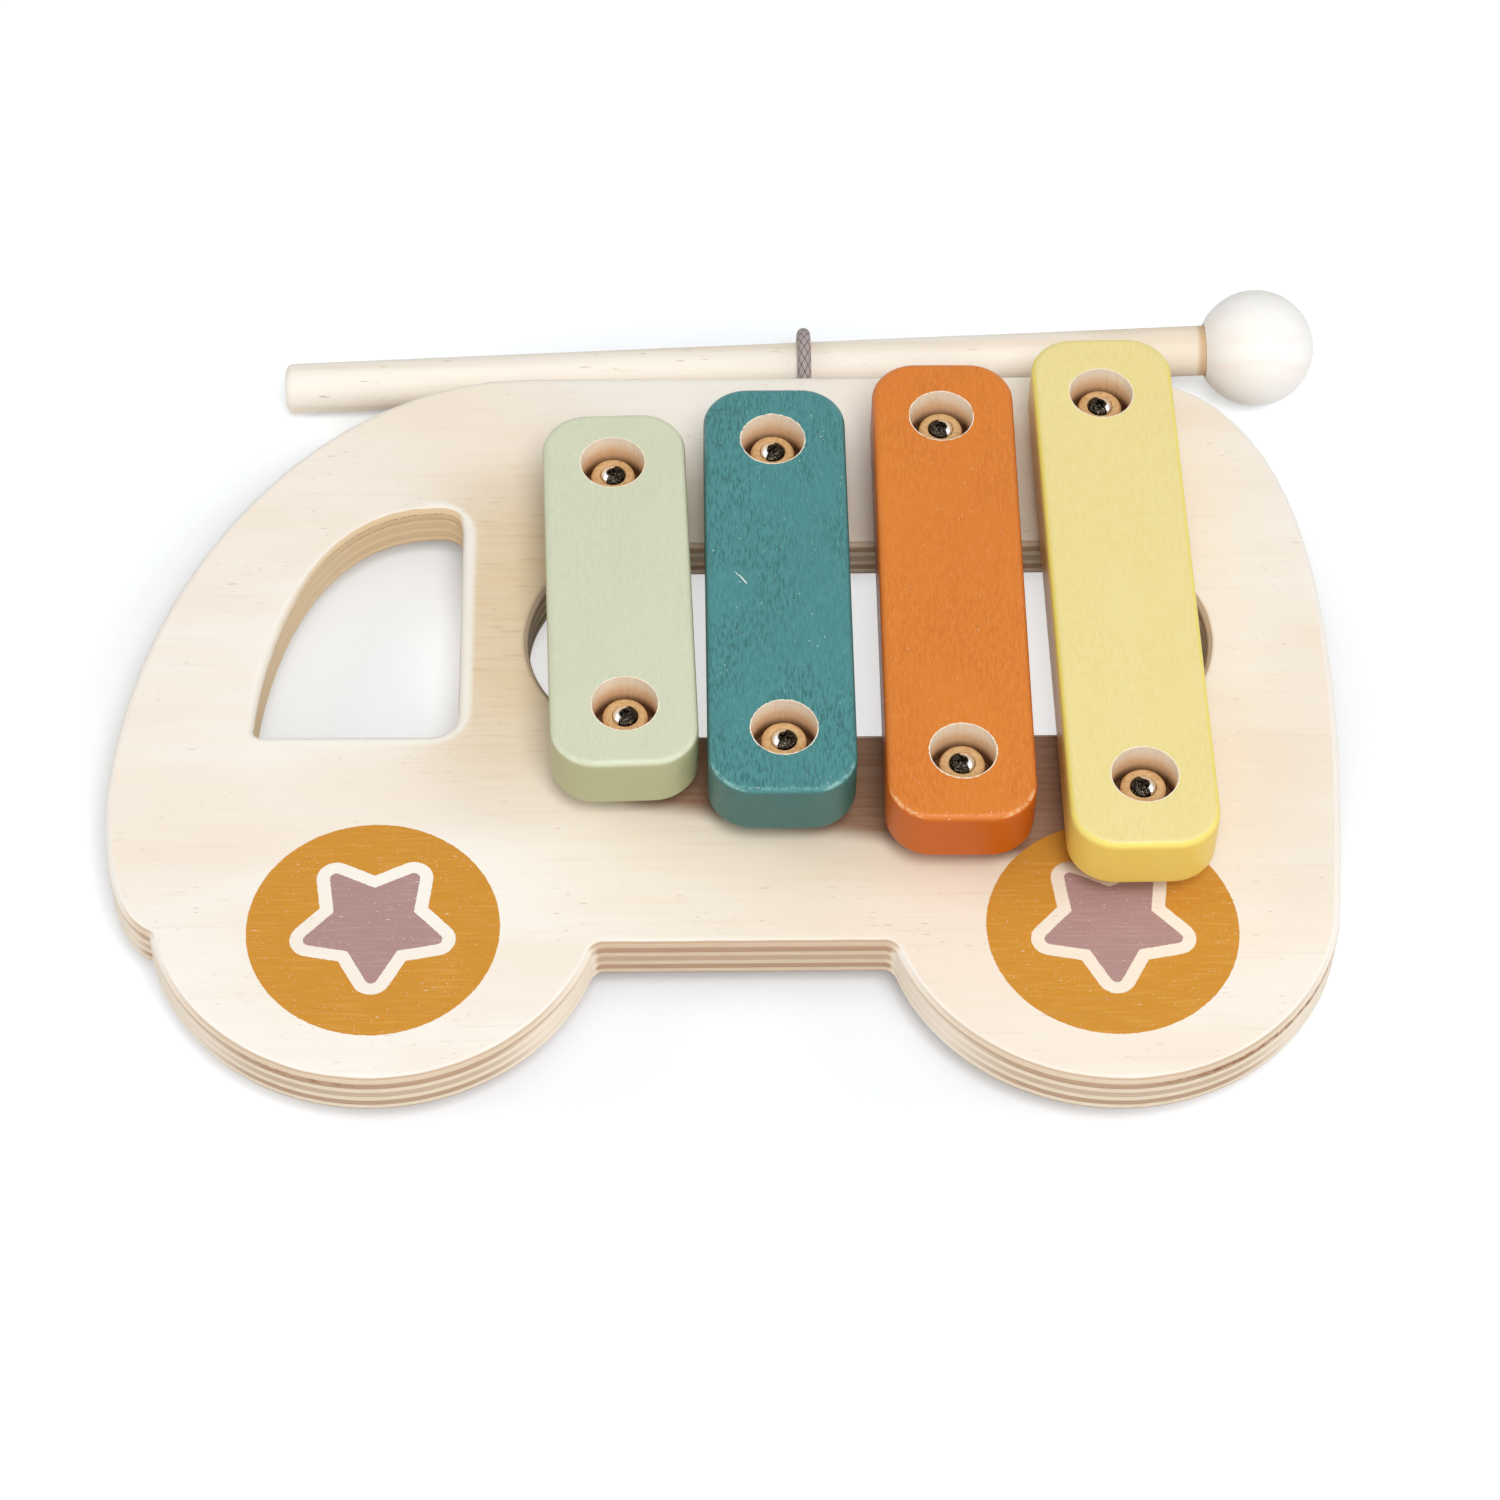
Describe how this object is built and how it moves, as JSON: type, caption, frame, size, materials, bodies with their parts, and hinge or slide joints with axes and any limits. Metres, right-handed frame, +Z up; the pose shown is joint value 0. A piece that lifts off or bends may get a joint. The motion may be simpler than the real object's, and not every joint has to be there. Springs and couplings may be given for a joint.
{
  "type": "toy xylophone",
  "caption": "Wooden toy xylophone in the shape of a bus, with painted bars screwed down on rubber rings over a slot, and a mallet held in an elastic loop.",
  "frame": {"origin": "middle of the footprint of the whole toy, on the surface that it lies on", "axes": "+X from the nose of the bus to its tail, +Y from its wheels to its roof, +Z up out of the board"},
  "size_m": [0.2808, 0.2244, 0.0392],
  "materials": {
    "plywood": "fine sanded plywood with a clear matt lacquer and two printed wheels",
    "beech": "sanded pale hardwood",
    "paint_green": "wood under thin matt pale green paint",
    "paint_teal": "wood under thin matt teal paint",
    "paint_orange": "wood under thin matt orange paint",
    "paint_yellow": "wood under thin matt yellow paint",
    "ring_rubber": "smooth tan rubber",
    "foot_rubber": "matt dark rubber",
    "screw_steel": "bright plated steel",
    "elastic": "braided grey elastic cord"
  },
  "bodies": {
    "toy": {"bus_board": "plywood", "foot_nose_front": "foot_rubber", "foot_nose_back": "foot_rubber", "foot_tail_front": "foot_rubber", "foot_tail_back": "foot_rubber", "bar_green": "paint_green", "ring_green_back": "ring_rubber", "cushion_green_back": "ring_rubber", "screw_green_back": "screw_steel", "ring_green_front": "ring_rubber", "cushion_green_front": "ring_rubber", "screw_green_front": "screw_steel", "bar_teal": "paint_teal", "ring_teal_back": "ring_rubber", "cushion_teal_back": "ring_rubber", "screw_teal_back": "screw_steel", "ring_teal_front": "ring_rubber", "cushion_teal_front": "ring_rubber", "screw_teal_front": "screw_steel", "bar_orange": "paint_orange", "ring_orange_back": "ring_rubber", "cushion_orange_back": "ring_rubber", "screw_orange_back": "screw_steel", "ring_orange_front": "ring_rubber", "cushion_orange_front": "ring_rubber", "screw_orange_front": "screw_steel", "bar_yellow": "paint_yellow", "ring_yellow_back": "ring_rubber", "cushion_yellow_back": "ring_rubber", "screw_yellow_back": "screw_steel", "ring_yellow_front": "ring_rubber", "cushion_yellow_front": "ring_rubber", "screw_yellow_front": "screw_steel", "elastic_loop": "elastic"},
    "mallet": {"mallet_stick": "beech", "mallet_ball": "beech"}
  },
  "joints": [
    {"name": "mallet_slide", "type": "slide", "parent": "toy", "child": "mallet", "axis": [0.9993, 0.022, 0.0313], "range_m": [-0.018, 0.118]}
  ]
}
